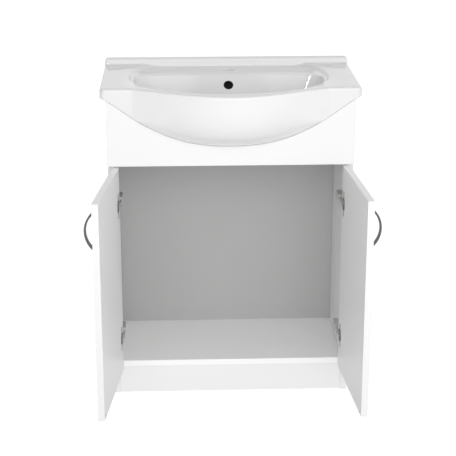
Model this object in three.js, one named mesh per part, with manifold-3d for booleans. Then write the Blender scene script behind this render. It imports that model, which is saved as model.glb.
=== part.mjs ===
// White bathroom sink base cabinet: a board carcass with a glazed ceramic
// semi-recessed basin on top and two doors that stand open.
// Millimetres, +Z up and +Y to the wall. The origin is on the floor, under the
// middle of the plinth. Pieces are drawn with Y = 0 at the carcass's front edge,
// and add() moves them back by the plinth's place.
import * as THREE from 'three';
import Module from 'manifold-3d';

const wasm = await Module();
wasm.setup();

// ---- driving dimensions -----------------------------------------------------

// carcass
const CABINET_W = 620;
const CABINET_D = 296;
const BOARD = 16;
const BACK_SCRIBE = 3; // gap between the back panel and the wall
const PLINTH_H = 75.5;
const PLINTH_RECESS = 4;
const PLINTH_GAP = 0.5;
const RAIL_H = 30;
const RAIL_UP = 2; // front rail above the fascia's lower edge
const CLEAT_H = 112;
const CLEAT_FROM_TOP = 22.7;
const FIT = 0.3; // clearance where one piece seats in or on another

// fascia above the doors
const FASCIA_T = 18;
const FASCIA_STRIP = 49.7; // its least height, under the belly's cut-out
const BELLY_GAP = 1; // between the fascia's cut-out and the basin's belly

// doors, drawn closed and then swung open about the hinge axes; their height
// is what the plinth, the fascia and the basin leave
const DOOR_REVEAL = 1; // to the carcass's outer side and to the bottom panel's underside
const DOOR_GAP = 3; // between the doors, and up to the fascia
const DOOR_STANDOFF = 1.5; // closed door to carcass
const AXIS_IN = 7.8; // hinge axis in from the cabinet's outer side
const AXIS_OUT = 3.2; // hinge axis in front of the closed door
const OPEN_LEFT = 96.7;
const OPEN_RIGHT = 94.1;

// concealed hinges
const HINGE_FROM_END = 95; // hinge centre to the door's top or bottom edge
const CUP_D = 35;
const CUP_DEPTH = 12;
const CUP_WALL = 1;
const CUP_EDGE = 5; // board left between the cup and the door's edge
const FLANGE_H = 64;
const FLANGE_W = 14;
const FLANGE_T = 0.7;
const PLATE_LINE = 37; // screw line behind the carcass's front edge
const PLATE_SCREW_CC = 32;
const PLATE_H = 46;
const PLATE_L = 48;
const PLATE_T = 2;
const PLATE_WING = 8; // half the length of the plate's wings
const PLATE_SHOULDER = 2; // plate left on each side of its ridge
const RIDGE_W = 10;
const RIDGE_T = 9;
const RIDGE_INSET = 1;
const ARM_W = 15;
const ARM_T = 8;
const ARM_END = 62;
const NOSE_W = 6;
const NOSE_T = 6;
const NOSE_REACH = 9; // into the closed door's cup
const NOSE_ROOT = 4; // into the arm
const NOSE_OFFSET = 18.5; // in from the hinge axis, so that the cup's wall swings past
const LINK_T = 1.4;
const LINK_EYE_D = 5.6;
const LINK_PIN_D = 2.6;
const LINK_PIN_PROUD = 0.5;
const LINK_NECK = [[2.7, -10], [4.7, -26]]; // the neck's bend, from its pivot
const LINK_HALF = 1.9; // half the neck's width at the pivot
const LINK_TAPER = 0.8; // and how much less it is at the bar
const LINK_BAR_D = 4;
const LINK_BAR_IN = 3; // link's bar from the hinge axis, across the closed door
const LINK_BAR_DEEP = 8.7; // link's bar below the mouth of the cup
const SCREW_D = 4.4;
const SCREW_HEAD_D = 8;
const SCREW_HEAD_T = 2;
const SCREW_L = 12;

// bow handles
const HANDLE_CC = 96;
const HANDLE_OUT = 25;
const HANDLE_W = 10;
const HANDLE_T = 4.2;
const HANDLE_FOOT = [4.5, 4.5]; // foot beyond its screw, and inside it
const HANDLE_TOE = [2, 5.3]; // rounding of the foot's outer end, and the foot's height
const HANDLE_SPRING = 2; // in from the screw to where the bow leaves its foot
const HANDLE_BACK = [[13.9, 0.72], [30.6, 1]]; // the outer curve's pulls: in from the screw, share of its height
const HANDLE_BELLY = [[15, 0.625], [30.7, 1]]; // the inner curve's
const HANDLE_FROM_TOP = 77;
const HANDLE_FROM_EDGE = 36;
const HANDLE_SCREW_D = 4;
const HANDLE_SCREW_BITE = 3.6;
const HANDLE_HEAD_D = 9;
const HANDLE_HEAD_T = 0.9;

// door bumpers
const BUMPER_D = 8;
const BUMPER_T = 1.1;
const BUMPER_FROM_EDGE = 18;
const BUMPER_SEAT = 0.1;

// basin
const RIM_Z = 828;
const RIM_T = 25;
const BASIN_OVERHANG = 15;
const CORNER_R = 14;
const CORNER_PROUD = 2; // front corners in front of the fascia
const LIP_REACH = 87; // middle of the lip in front of the corners
const LIP_FULLNESS = 0.587; // less makes the lip's wave fuller
const LIP_T = 32;
const SIDE_DECK = 80;
const REAR_DECK = 114;
const RECESS_DEPTH = 7;
const RECESS_W = 14; // dished border outside the bowl's edge
const RECESS_PAST = 45; // the border's curve would close this far behind the wall line
const UPSTAND_H = 17;
const UPSTAND_T = 14;
const UPSTAND_ROUND = 10;
const BOWL_DEPTH = 126;
const BOWL_SHOULDER = 55; // its widest place, forward of its tight rear corners
const BOWL_FLATNESS = 6; // more makes the floor flatter and the walls steeper
const REAR_CORNER = 4; // more makes the rear corners tighter
const REAR_FALL = 0.75; // steepness of the rear wall where it leaves the edge
const BELLY_DROP = 122.3; // rim's underside to the belly's lowest point on the fascia
const BELLY_SPAN = 0.948; // share of the basin's half-width that the belly's lower line spans
const BELLY_FLATNESS = 2.35; // more makes that line flatter in the middle
const BELLY_TAIL = 0.2; // softness of its run-out at the sides
const BELLY_ROUND = 2.4; // power of the belly's curve from the lip down
const TUCK_FROM = 0.61; // share of the bowl's half-width where the belly tucks under the deck
const BLEND_RUN = 45; // from the fascia's front back into the shell, in the middle
const BLEND_RUN_SIDE = 10; // and beside the bowl
const BLEND_SIDE = [0.58, 0.83]; // shares of the basin's half-width between which it shortens
const SHELL_T = 13;
const TAP_D = 35;
const TAP_FROM_WALL = 56;
const DRAIN_D = 46;
const DRAIN_FROM_WALL = 236;
const DRAIN_RISE = 20; // its bore stays open this high, through the rear wall's foot
const DRAIN_BOSS_D = 76;
const OVERFLOW_D = 25;
const OVERFLOW_FROM_EDGE = 23; // forward of the bowl's rear edge
const OVERFLOW_TILT = 40;
const OVERFLOW_BORE = 50; // length of its slanted bore, each way

// how the shapes are made
const PAST = 1; // cutting tools run this far past the face that they open
const TRIM = 5; // a block runs this far past the outline that trims it
const GRID = [15, 13]; // spacing of the underside's points, across and from front to back
const GRID_FRONT = 10; // first of them behind the fascia's front
const GRID_BACK = 24; // last of them behind the bowl
const LIP_ROWS = 8; // rows between the lip and the fascia's front

// ---- materials --------------------------------------------------------------

const whiteBoard = new THREE.MeshStandardMaterial({ color: '#f1f1ef', roughness: 0.35 });
const innerBoard = new THREE.MeshStandardMaterial({ color: '#e6e6e3', roughness: 0.45 });
const glaze = new THREE.MeshStandardMaterial({ color: '#f7f7f5', roughness: 0.08 });
const brushedSteel = new THREE.MeshStandardMaterial({ color: '#8d8f91', roughness: 0.35, metalness: 1 });
const zinc = new THREE.MeshStandardMaterial({ color: '#a9abad', roughness: 0.4, metalness: 1 });
const clearPlastic = new THREE.MeshStandardMaterial({ color: '#dcdcd8', roughness: 0.5 });

const cabinet = new THREE.Group();
cabinet.name = 'sink_base_cabinet';

// ---- solids -----------------------------------------------------------------

// merges vertices that share a place and drops faces that collapse
function weld(geometry) {
  const place = geometry.getAttribute('position');
  const corners = geometry.index ? Array.from(geometry.index.array) : [...Array(place.count).keys()];
  const seen = new Map();
  const points = [];
  const renumbered = [];
  for (let i = 0; i < place.count; i++) {
    const point = [place.getX(i), place.getY(i), place.getZ(i)];
    const key = point.map((v) => Math.round(v * 1e4)).join();
    if (!seen.has(key)) {
      seen.set(key, points.length / 3);
      points.push(...point);
    }
    renumbered.push(seen.get(key));
  }
  const faces = [];
  for (let i = 0; i < corners.length; i += 3) {
    const [a, b, c] = corners.slice(i, i + 3).map((corner) => renumbered[corner]);
    if (a !== b && b !== c && c !== a) faces.push(a, b, c);
  }
  return meshOf(points, faces);
}

function meshOf(points, faces) {
  const geometry = new THREE.BufferGeometry();
  geometry.setAttribute('position', new THREE.Float32BufferAttribute(points, 3));
  geometry.setIndex(faces);
  return geometry;
}

function toSolid(geometry) {
  const welded = weld(geometry);
  return new wasm.Manifold(new wasm.Mesh({
    numProp: 3,
    vertProperties: new Float32Array(welded.getAttribute('position').array),
    triVerts: new Uint32Array(welded.index.array),
  }));
}

function toGeometry(solid) {
  const mesh = solid.getMesh();
  return meshOf(Array.from(mesh.vertProperties), Array.from(mesh.triVerts));
}

function cut(geometry, ...tools) {
  return toGeometry(tools.reduce((body, tool) => body.subtract(toSolid(tool)), toSolid(geometry)));
}

function join(geometry, ...others) {
  return toGeometry(others.reduce((body, other) => body.add(toSolid(other)), toSolid(geometry)));
}

function overlap(geometry, other) {
  return toGeometry(toSolid(geometry).intersect(toSolid(other)));
}

function box([x0, x1], [y0, y1], [z0, z1]) {
  return new THREE.BoxGeometry(x1 - x0, y1 - y0, z1 - z0)
    .translate((x0 + x1) / 2, (y0 + y1) / 2, (z0 + z1) / 2);
}

// round bar along one axis, from one end to the other, at its place across
function bar(axis, diameter, [from, to], [across, up], sides = 20) {
  const g = new THREE.CylinderGeometry(diameter / 2, diameter / 2, to - from, sides);
  const middle = (from + to) / 2;
  if (axis === 'x') return g.rotateZ(Math.PI / 2).translate(middle, across, up);
  if (axis === 'y') return g.translate(across, middle, up);
  return g.rotateX(Math.PI / 2).translate(across, up, middle);
}

// extrudes a flat outline, with its own x, y and depth laid along three directions
function extrude(outline, depth, xTo, yTo, depthTo, curveSegments = 10) {
  return new THREE.ExtrudeGeometry(outline, { depth, bevelEnabled: false, curveSegments })
    .applyMatrix4(new THREE.Matrix4().makeBasis(xTo, yTo, depthTo));
}
const RIGHT = new THREE.Vector3(1, 0, 0);
const BACK = new THREE.Vector3(0, 1, 0);
const FRONT = new THREE.Vector3(0, -1, 0);
const UP = new THREE.Vector3(0, 0, 1);

// the right-hand copy of a left-hand piece
function mirrored(geometry) {
  const g = weld(geometry).scale(-1, 1, 1);
  const faces = Array.from(g.index.array);
  for (let i = 0; i < faces.length; i += 3) [faces[i], faces[i + 1]] = [faces[i + 1], faces[i]];
  return g.setIndex(faces);
}

function add(name, geometry, material) {
  const mesh = new THREE.Mesh(weld(geometry).translate(0, -plinthMiddle, 0), material);
  mesh.geometry.computeVertexNormals();
  mesh.name = name;
  cabinet.add(mesh);
}

function addPair(name, leftGeometry, material) {
  add(`${name}_left`, leftGeometry, material);
  add(`${name}_right`, mirrored(leftGeometry), material);
}

const clamp01 = (t) => Math.min(1, Math.max(0, t));
const ease = (t) => clamp01(t) ** 2 * (3 - 2 * clamp01(t));

// ---- where things meet ------------------------------------------------------

const plinthMiddle = PLINTH_RECESS + BOARD / 2;
const outerX = CABINET_W / 2;
const innerX = outerX - BOARD;
const floorZ = PLINTH_H + PLINTH_GAP;
const backY = CABINET_D - BACK_SCRIBE - BOARD;
const rimUnderZ = RIM_Z - RIM_T;
const carcassTop = rimUnderZ - FIT;

const doorW = (CABINET_W - DOOR_GAP) / 2 - DOOR_REVEAL;
const doorZ = floorZ + DOOR_REVEAL;
const fasciaZ = rimUnderZ - BELLY_DROP - BELLY_GAP - FASCIA_STRIP;
const doorTop = fasciaZ - DOOR_GAP;
const doorEdgeX = -outerX + DOOR_REVEAL;
const doorBackY = -DOOR_STANDOFF;
const doorFrontY = doorBackY - BOARD;
const axisX = outerX - AXIS_IN;
const axisY = doorFrontY - AXIS_OUT;
const hingeZ = { lower: doorZ + HINGE_FROM_END, upper: doorTop - HINGE_FROM_END };

// ---- carcass ----------------------------------------------------------------

function sidePanel() {
  const deep = -innerX - SCREW_L - FIT;
  const pilots = Object.values(hingeZ).flatMap((z) => [-1, 1].map((side) => bar(
    'x', SCREW_D + 2 * FIT, [deep, -innerX + PAST], [PLATE_LINE, z + side * PLATE_SCREW_CC / 2], 16,
  )));
  return cut(box([-outerX, -innerX], [0, CABINET_D], [0, carcassTop]), ...pilots);
}

addPair('side_panel', sidePanel(), whiteBoard);
add('bottom_panel', box([-innerX, innerX], [0, backY], [floorZ, floorZ + BOARD]), innerBoard);
add('back_panel', box([-innerX, innerX], [backY, backY + BOARD], [floorZ, carcassTop]), innerBoard);
add('plinth', box([-innerX, innerX], [PLINTH_RECESS, PLINTH_RECESS + BOARD], [0, PLINTH_H]), whiteBoard);

const railZ = fasciaZ + RAIL_UP;
const cleatTop = carcassTop - CLEAT_FROM_TOP;
const cleat = box([-innerX, -innerX + BOARD], [0, BOARD], [cleatTop - CLEAT_H, cleatTop]);
add('front_rail', box([-innerX, innerX], [0, BOARD], [railZ, railZ + RAIL_H]), innerBoard);
addPair('fascia_cleat', cleat, innerBoard);

// ---- basin ------------------------------------------------------------------

const basinHalf = outerX + BASIN_OVERHANG;
const cornerY = -FASCIA_T - CORNER_PROUD;
const bowlHalf = basinHalf - SIDE_DECK;
const bowlFront = cornerY - LIP_REACH + LIP_T;
const bowlRear = CABINET_D - REAR_DECK;
const bowlWidest = bowlRear - BOWL_SHOULDER;
const bowlY = CABINET_D - DRAIN_FROM_WALL;
const bowlRimZ = RIM_Z - RECESS_DEPTH;
const upstandY = CABINET_D - UPSTAND_T;
const tapY = CABINET_D - TAP_FROM_WALL;

// front edge of the basin in plan: straight at the corners, a soft wave to the lip
function lipY(x) {
  const wave = 0.5 + 0.5 * Math.cos(Math.PI * Math.min(1, Math.abs(x) / bowlHalf));
  return cornerY - LIP_REACH * wave ** LIP_FULLNESS;
}

// share of the belly's full drop where it meets the fascia
function bellyShare(x) {
  const line = (v) => {
    const rise = 1 - (Math.abs(v) / (BELLY_SPAN * basinHalf)) ** BELLY_FLATNESS;
    return (rise + Math.hypot(rise, BELLY_TAIL)) / 2;
  };
  return clamp01((line(x) - line(basinHalf)) / (line(0) - line(basinHalf)));
}

// 1 on the bowl's D-shaped edge, less inside
function edgeValue(x, y) {
  const across = Math.abs(x) / bowlHalf;
  if (y < bowlWidest) return across ** 2 + ((bowlWidest - y) / (bowlWidest - bowlFront)) ** 2;
  const back = (y - bowlWidest) / (bowlRear - bowlWidest);
  return across ** REAR_CORNER + back ** REAR_CORNER;
}

// the dished border opens out behind the bowl, round the tap platform
function borderValue(x, y) {
  const across = Math.abs(x) / (bowlHalf + RECESS_W);
  const front = bowlWidest - bowlFront + RECESS_W / 2;
  if (y < bowlWidest) return across ** 2 + ((bowlWidest - y) / front) ** 2;
  return across ** 2.5 + ((y - bowlWidest) / (CABINET_D - bowlWidest + RECESS_PAST)) ** 2.5;
}

// distance from the bowl's centre to an edge, in one direction
function reach(value, dx, dy) {
  let low = 1;
  let high = 2 * basinHalf;
  for (let step = 0; step < 32; step++) {
    const middle = (low + high) / 2;
    if (value(dx * middle, bowlY + dy * middle) > 1) high = middle;
    else low = middle;
  }
  return low;
}

// drop below the bowl's edge at a share of the way out: full at the sides and
// front, gently sloped at the rear where the overflow is
function bowlDrop(share, dx, dy) {
  const rear = Math.max(0, dy / (bowlRear - bowlY)) ** 2;
  const rearness = (rear / (rear + (dx / bowlHalf) ** 2 + 1e-12)) ** 2;
  const fall = 1 - share;
  const rearWall = ease(fall) + REAR_FALL * fall * (1 - fall) ** 2;
  return BOWL_DEPTH * ((1 - rearness) * (1 - share ** BOWL_FLATNESS) + rearness * rearWall);
}

function bowlFloor(x, y) {
  const out = Math.hypot(x, y - bowlY);
  if (out < 0.5) return bowlRimZ - BOWL_DEPTH;
  const [dx, dy] = [x / out, (y - bowlY) / out];
  return bowlRimZ - bowlDrop(Math.min(1, out / reach(edgeValue, dx, dy)), dx, dy);
}

// outside of the belly in front of the fascia, and its tuck under the deck
function apronUnder(x, y) {
  const tuck = ease((Math.abs(x) / bowlHalf - TUCK_FROM) / (1 - TUCK_FROM));
  const axis = 2 * -cornerY; // where the belly's curve runs level
  const curve = (v) => (1 - clamp01((axis - v) / (axis - lipY(x))) ** BELLY_ROUND) ** (1 / BELLY_ROUND);
  const share = clamp01(curve(Math.min(y, -FASCIA_T)) / curve(-FASCIA_T));
  return rimUnderZ - BELLY_DROP * bellyShare(x) * (tuck + (1 - tuck) * share);
}

// underside: the belly in front, and behind the fascia a shell below the bowl
function basinUnder(x, y) {
  const slopeX = (bowlFloor(x + 1, y) - bowlFloor(x - 1, y)) / 2;
  const slopeY = (bowlFloor(x, y + 1) - bowlFloor(x, y - 1)) / 2;
  const wall = SHELL_T * Math.sqrt(1 + Math.min(1.8, Math.hypot(slopeX, slopeY)) ** 2);
  const shell = Math.min(rimUnderZ, bowlFloor(x, y) - wall);
  const [from, to] = BLEND_SIDE;
  const beside = ease((Math.abs(x) / basinHalf - from) / (to - from));
  const run = BLEND_RUN + (BLEND_RUN_SIDE - BLEND_RUN) * beside;
  const w = ease((y + FASCIA_T) / run);
  return (1 - w) * apronUnder(x, y) + w * shell;
}

// closed block between a curved underside and a level top; rowsAt(x) gives the
// places across that one column of points has
function blockOver(under, top, xs, rowsAt) {
  const points = [];
  const faces = [];
  const rows = rowsAt(0).length;
  const id = (layer, i, j) => (layer * xs.length + i) * rows + j;
  const quad = (a, b, c, d) => faces.push(a, b, c, a, c, d);
  for (const height of [under, () => top]) {
    for (const x of xs) for (const y of rowsAt(x)) points.push(x, y, height(x, y));
  }
  const [lastX, lastY] = [xs.length - 1, rows - 1];
  for (let i = 0; i < lastX; i++) {
    for (let j = 0; j < lastY; j++) {
      quad(id(1, i, j), id(1, i + 1, j), id(1, i + 1, j + 1), id(1, i, j + 1));
      quad(id(0, i, j), id(0, i, j + 1), id(0, i + 1, j + 1), id(0, i + 1, j));
    }
    quad(id(0, i, 0), id(0, i + 1, 0), id(1, i + 1, 0), id(1, i, 0));
    quad(id(0, i + 1, lastY), id(0, i, lastY), id(1, i, lastY), id(1, i + 1, lastY));
  }
  for (let j = 0; j < lastY; j++) {
    quad(id(0, 0, j + 1), id(0, 0, j), id(1, 0, j), id(1, 0, j + 1));
    quad(id(0, lastX, j), id(0, lastX, j + 1), id(1, lastX, j + 1), id(1, lastX, j));
  }
  return meshOf(points, faces);
}

// even steps from one value to another, both ends included
function steps(from, to, size) {
  const count = Math.ceil((to - from) / size);
  return Array.from({ length: count + 1 }, (_, i) => from + ((to - from) * i) / count);
}

// closed tool whose lower face is rings of (share of the edge, height) round
// the bowl's centre; its wall rises from the outer ring to a lid
function dishTool(value, shares, height, lid, sides = 64) {
  const points = [0, bowlY, height(0, 0, 1)];
  const faces = [];
  const rings = [...shares, null];
  for (const share of rings) {
    for (let s = 0; s < sides; s++) {
      const angle = (2 * Math.PI * s) / sides;
      const [dx, dy] = [Math.cos(angle), Math.sin(angle)];
      const out = reach(value, dx, dy) * (share ?? 1);
      points.push(dx * out, bowlY + dy * out, share === null ? lid : height(share, dx, dy));
    }
  }
  const id = (ring, s) => 1 + ring * sides + (s % sides);
  const lidCentre = points.length / 3;
  points.push(0, bowlY, lid);
  for (let s = 0; s < sides; s++) {
    faces.push(0, id(0, s + 1), id(0, s));
    faces.push(lidCentre, id(rings.length - 1, s), id(rings.length - 1, s + 1));
    for (let r = 0; r + 1 < rings.length; r++) {
      const [a, b, c, d] = [id(r, s), id(r, s + 1), id(r + 1, s + 1), id(r + 1, s)];
      faces.push(a, b, c, a, c, d);
    }
  }
  return meshOf(points, faces);
}

function planOutline() {
  const plan = new THREE.Shape();
  plan.moveTo(-basinHalf, cornerY + CORNER_R);
  plan.quadraticCurveTo(-basinHalf, cornerY, -basinHalf + CORNER_R, cornerY);
  for (const x of steps(-bowlHalf, bowlHalf, GRID[0])) plan.lineTo(x, lipY(x));
  plan.lineTo(basinHalf - CORNER_R, cornerY);
  plan.quadraticCurveTo(basinHalf, cornerY, basinHalf, cornerY + CORNER_R);
  plan.lineTo(basinHalf, CABINET_D - CORNER_R);
  plan.quadraticCurveTo(basinHalf, CABINET_D, basinHalf - CORNER_R, CABINET_D);
  plan.lineTo(-basinHalf + CORNER_R, CABINET_D);
  plan.quadraticCurveTo(-basinHalf, CABINET_D, -basinHalf, CABINET_D - CORNER_R);
  return plan;
}

function upstand() {
  const profile = new THREE.Shape();
  const top = RIM_Z + UPSTAND_H;
  profile.moveTo(upstandY, RIM_Z - RIM_T / 2);
  profile.lineTo(upstandY, top - UPSTAND_ROUND);
  profile.quadraticCurveTo(upstandY, top, upstandY + UPSTAND_ROUND, top);
  profile.lineTo(CABINET_D, top);
  profile.lineTo(CABINET_D, RIM_Z - RIM_T / 2);
  return extrude(profile, 2 * basinHalf, BACK, UP, RIGHT, 6).translate(-basinHalf, 0, 0);
}

function basin() {
  const top = RIM_Z + UPSTAND_H;
  const low = rimUnderZ - 2 * BOWL_DEPTH;
  const prism = (z0, z1) => extrude(planOutline(), z1 - z0, RIGHT, BACK, UP, 4).translate(0, 0, z0);
  const xs = steps(-basinHalf - TRIM, basinHalf + TRIM, GRID[0]);
  // rows crowd towards the lip, where the belly stands nearly upright
  const rowsAt = (x) => [
    lipY(x) - TRIM,
    ...steps(0, 1, 1 / LIP_ROWS).map((v) => lipY(x) - (FASCIA_T + lipY(x)) * (1 - Math.cos((v * Math.PI) / 2))),
    ...steps(-FASCIA_T + GRID_FRONT, bowlRear + GRID_BACK, GRID[1]),
    CABINET_D + TRIM,
  ];
  const belly = overlap(blockOver(basinUnder, RIM_Z - RIM_T / 2, xs, rowsAt), prism(low, top));
  const dish = overlap(
    dishTool(borderValue, [0.95, 1], (share) => (share < 1 ? bowlRimZ : RIM_Z), top + PAST),
    box([-basinHalf, basinHalf], [cornerY - LIP_REACH, upstandY], [low, top + 2 * PAST]),
  );
  const bowlRings = [0.2, 0.35, 0.5, 0.63, 0.74, 0.83, 0.9, 0.95, 0.985, 1];
  const inside = (share, dx, dy) => bowlRimZ - bowlDrop(share, dx, dy);
  const bowl = dishTool(edgeValue, bowlRings, inside, top + PAST);
  const bottom = bowlRimZ - BOWL_DEPTH;
  const overflowY = bowlRear - OVERFLOW_FROM_EDGE;
  const overflow = bar('y', OVERFLOW_D, [-OVERFLOW_BORE, OVERFLOW_BORE], [0, 0], 28)
    .rotateX(THREE.MathUtils.degToRad(-OVERFLOW_TILT))
    .translate(0, overflowY, bowlFloor(0, overflowY));
  return cut(
    join(
      prism(rimUnderZ, RIM_Z),
      belly,
      overlap(upstand(), prism(low, top)),
      bar('z', DRAIN_BOSS_D, [bottom - 2 * SHELL_T, bottom - SHELL_T / 2], [0, bowlY], 32),
    ),
    dish,
    bowl,
    bar('z', DRAIN_D, [low, bottom + DRAIN_RISE], [0, bowlY], 32),
    bar('z', TAP_D, [low, top], [0, tapY], 32),
    overflow,
  );
}
add('basin', basin(), glaze);

// ---- fascia, cut round the belly --------------------------------------------

function fascia() {
  const depths = steps(-FASCIA_T, 0, FASCIA_T / 5);
  const lowest = (x) => Math.min(...depths.map((y) => basinUnder(x, y)));
  const face = new THREE.Shape();
  face.moveTo(-outerX, fasciaZ);
  face.lineTo(outerX, fasciaZ);
  for (const x of steps(-outerX, outerX, outerX / 40).reverse()) {
    const near = [x - 4, x, x + 4].map((v) => lowest(Math.max(-outerX, Math.min(outerX, v))));
    face.lineTo(x, Math.min(carcassTop, Math.min(...near) - BELLY_GAP));
  }
  return extrude(face, FASCIA_T, RIGHT, UP, FRONT);
}
add('fascia', fascia(), whiteBoard);

// ---- door and what rides on it, as the left-hand leaf, closed -----------------

const cupX = doorEdgeX + CUP_EDGE + CUP_D / 2;
const gripX = doorEdgeX + doorW - HANDLE_FROM_EDGE;
const handleZ = doorTop - HANDLE_FROM_TOP;
const gripZ = { lower: handleZ - HANDLE_CC / 2, upper: handleZ + HANDLE_CC / 2 };
const handleY = doorFrontY - FIT;

function door() {
  return cut(
    box([doorEdgeX, doorEdgeX + doorW], [doorFrontY, doorBackY], [doorZ, doorTop]),
    ...Object.values(hingeZ).map((z) => bar(
      'y', CUP_D + 2 * FIT, [doorBackY - CUP_DEPTH - FIT, doorBackY + PAST], [cupX, z], 32,
    )),
    ...Object.values(gripZ).map((z) => bar(
      'y', HANDLE_SCREW_D + 2 * FIT, [doorFrontY - PAST, doorBackY + PAST], [gripX, z], 16,
    )),
  );
}

function hingeCup(z) {
  const seat = doorBackY + FIT;
  const face = seat + FLANGE_T;
  const [w, h] = [FLANGE_W / 2, FLANGE_H / 2];
  return cut(
    join(
      bar('y', CUP_D, [doorBackY - CUP_DEPTH, face], [cupX, z], 32),
      box([cupX - w, cupX + w], [seat, face], [z - h, z + h]),
    ),
    bar('y', CUP_D - 2 * CUP_WALL, [doorBackY - CUP_DEPTH + CUP_WALL, face + PAST], [cupX, z], 32),
  );
}

function handle() {
  const foot = HANDLE_CC / 2;
  const bore = HANDLE_SCREW_BITE + FIT;
  const arch = new THREE.Shape();
  const [beyond, within] = HANDLE_FOOT;
  const [toeRound, toe] = HANDLE_TOE;
  const inside = HANDLE_OUT - HANDLE_T;
  const pulls = (curve, height) => curve.map(([along, share]) => [foot - along, share * height]);
  const [low, high] = pulls(HANDLE_BACK, HANDLE_OUT);
  const [lowIn, highIn] = pulls(HANDLE_BELLY, inside);
  const end = foot + beyond;
  arch.moveTo(-end, 0);
  arch.lineTo(-end, toe - toeRound);
  arch.quadraticCurveTo(-end, toe, toeRound - end, toe);
  arch.lineTo(HANDLE_SPRING - foot, toe);
  arch.bezierCurveTo(-low[0], low[1], -high[0], high[1], 0, HANDLE_OUT);
  arch.bezierCurveTo(...high, ...low, foot - HANDLE_SPRING, toe);
  arch.lineTo(end - toeRound, toe);
  arch.quadraticCurveTo(end, toe, end, toe - toeRound);
  arch.lineTo(end, 0);
  arch.lineTo(foot - within, 0);
  arch.bezierCurveTo(...lowIn, ...highIn, 0, inside);
  arch.bezierCurveTo(-highIn[0], highIn[1], -lowIn[0], lowIn[1], within - foot, 0);
  return cut(
    extrude(arch, HANDLE_W, UP, FRONT, RIGHT).translate(gripX - HANDLE_W / 2, handleY, handleZ),
    ...Object.values(gripZ).map((z) => bar(
      'y', HANDLE_SCREW_D + 2 * FIT, [handleY - bore, doorFrontY + PAST], [gripX, z], 16,
    )),
  );
}

function handleScrew(z) {
  const head = doorBackY + FIT;
  return join(
    bar('y', HANDLE_SCREW_D, [handleY - HANDLE_SCREW_BITE, head + HANDLE_HEAD_T / 2], [gripX, z], 14),
    bar('y', HANDLE_HEAD_D, [head, head + HANDLE_HEAD_T], [gripX, z]),
  );
}

function doorBumper() {
  const seat = doorBackY + BUMPER_SEAT;
  const x = doorEdgeX + doorW - BUMPER_FROM_EDGE;
  return bar('y', BUMPER_D, [seat, seat + BUMPER_T], [x, floorZ + BOARD / 2]);
}

function swung(geometry, side, degrees) {
  return weld(geometry)
    .translate(side * axisX, -axisY, 0)
    .rotateZ(THREE.MathUtils.degToRad(degrees))
    .translate(-side * axisX, axisY, 0);
}

for (const [name, geometry, material] of [
  ['door', door(), whiteBoard],
  ['handle', handle(), brushedSteel],
  ['handle_screw_lower', handleScrew(gripZ.lower), zinc],
  ['handle_screw_upper', handleScrew(gripZ.upper), zinc],
  ['hinge_cup_lower', hingeCup(hingeZ.lower), zinc],
  ['hinge_cup_upper', hingeCup(hingeZ.upper), zinc],
  ['door_bumper', doorBumper(), clearPlastic],
]) {
  add(`${name}_left`, swung(geometry, 1, -OPEN_LEFT), material);
  add(`${name}_right`, swung(mirrored(geometry), -1, OPEN_RIGHT), material);
}

// ---- hinge plates and arms on the side panels --------------------------------

const plateX = -innerX;
const plateFront = PLATE_LINE - 0.4 * PLATE_L;
const plateBack = PLATE_LINE + 0.6 * PLATE_L;

function mountingPlate(z) {
  const wing = PLATE_H / 2;
  const waist = RIDGE_W / 2 + PLATE_SHOULDER;
  const ridge = [plateFront + RIDGE_INSET, plateBack - RIDGE_INSET];
  const through = [plateX - PAST, plateX + PLATE_T + PAST];
  const plate = new THREE.Shape();
  plate.setFromPoints([
    [PLATE_LINE - PLATE_WING, -wing], [PLATE_LINE + PLATE_WING, -wing],
    [plateBack, -waist], [plateBack, waist],
    [PLATE_LINE + PLATE_WING, wing], [PLATE_LINE - PLATE_WING, wing],
    [plateFront, waist], [plateFront, -waist],
  ].map(([y, up]) => new THREE.Vector2(y, up)));
  return cut(
    join(
      extrude(plate, PLATE_T, BACK, UP, RIGHT).translate(plateX, 0, z),
      box([plateX, plateX + RIDGE_T], ridge, [z - RIDGE_W / 2, z + RIDGE_W / 2]),
    ),
    ...[-1, 1].map((side) => bar(
      'x', SCREW_D + 2 * FIT, through, [PLATE_LINE, z + side * PLATE_SCREW_CC / 2], 16,
    )),
  );
}

// pivot of the link in the arm's nose
const noseX = -axisX + NOSE_OFFSET;
const linkPivot = new THREE.Vector2(noseX + NOSE_T / 2, -NOSE_REACH + NOSE_T / 2);

// channel that straddles the plate's ridge, with a nose that reaches into the
// closed door's cup and a pin for the link
function hingeArm(z) {
  const armTop = Math.max(plateX + RIDGE_T + ARM_T, noseX + NOSE_T);
  const ridge = RIDGE_W / 2 + FIT;
  const pinHalf = NOSE_W / 2 + FIT + LINK_T + LINK_PIN_PROUD;
  return cut(
    join(
      box([plateX + PLATE_T + FIT, armTop], [plateFront, ARM_END], [z - ARM_W / 2, z + ARM_W / 2]),
      box([noseX, noseX + NOSE_T], [-NOSE_REACH, plateFront + NOSE_ROOT], [z - NOSE_W / 2, z + NOSE_W / 2]),
      bar('z', LINK_PIN_D, [z - pinHalf, z + pinHalf], [linkPivot.x, linkPivot.y], 16),
    ),
    box([plateX, plateX + RIDGE_T + FIT], [plateFront - PAST, plateBack + PAST], [z - ridge, z + ridge]),
  );
}

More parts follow.
